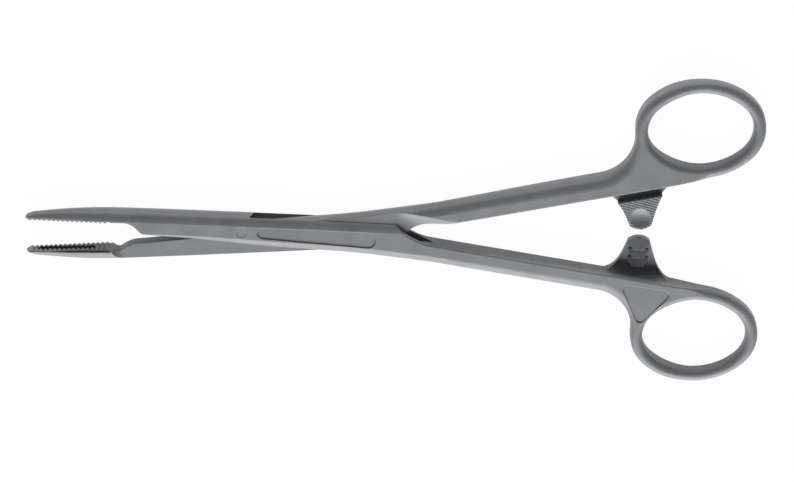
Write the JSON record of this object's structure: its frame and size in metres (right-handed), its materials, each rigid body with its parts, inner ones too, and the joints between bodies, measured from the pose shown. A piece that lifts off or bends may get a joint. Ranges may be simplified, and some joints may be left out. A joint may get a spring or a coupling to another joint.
{
  "type": "sponge forceps",
  "caption": "Long locking forceps with serrated jaws, a box lock and finger rings with a toothed ratchet, moulded in grey plastic.",
  "frame": {"origin": "on the axis of the lock, at the flat back that the forceps lie on", "axes": "+X runs from the lock to the finger rings, +Y to the ring of the inner half, +Z out of the front along the axis of the lock"},
  "size_m": [0.2486, 0.111, 0.0078],
  "materials": {
    "moulding": "fine matte texture from the mould"
  },
  "bodies": {
    "outer_half": {"outer_half": "moulding"},
    "inner_half": {"inner_half": "moulding"}
  },
  "joints": [
    {"name": "box_lock", "type": "hinge", "parent": "outer_half", "child": "inner_half", "pos_m": [0, 0, 0.0039], "axis": [0, 0, 1], "range_deg": [-6.5, 33.5]}
  ]
}
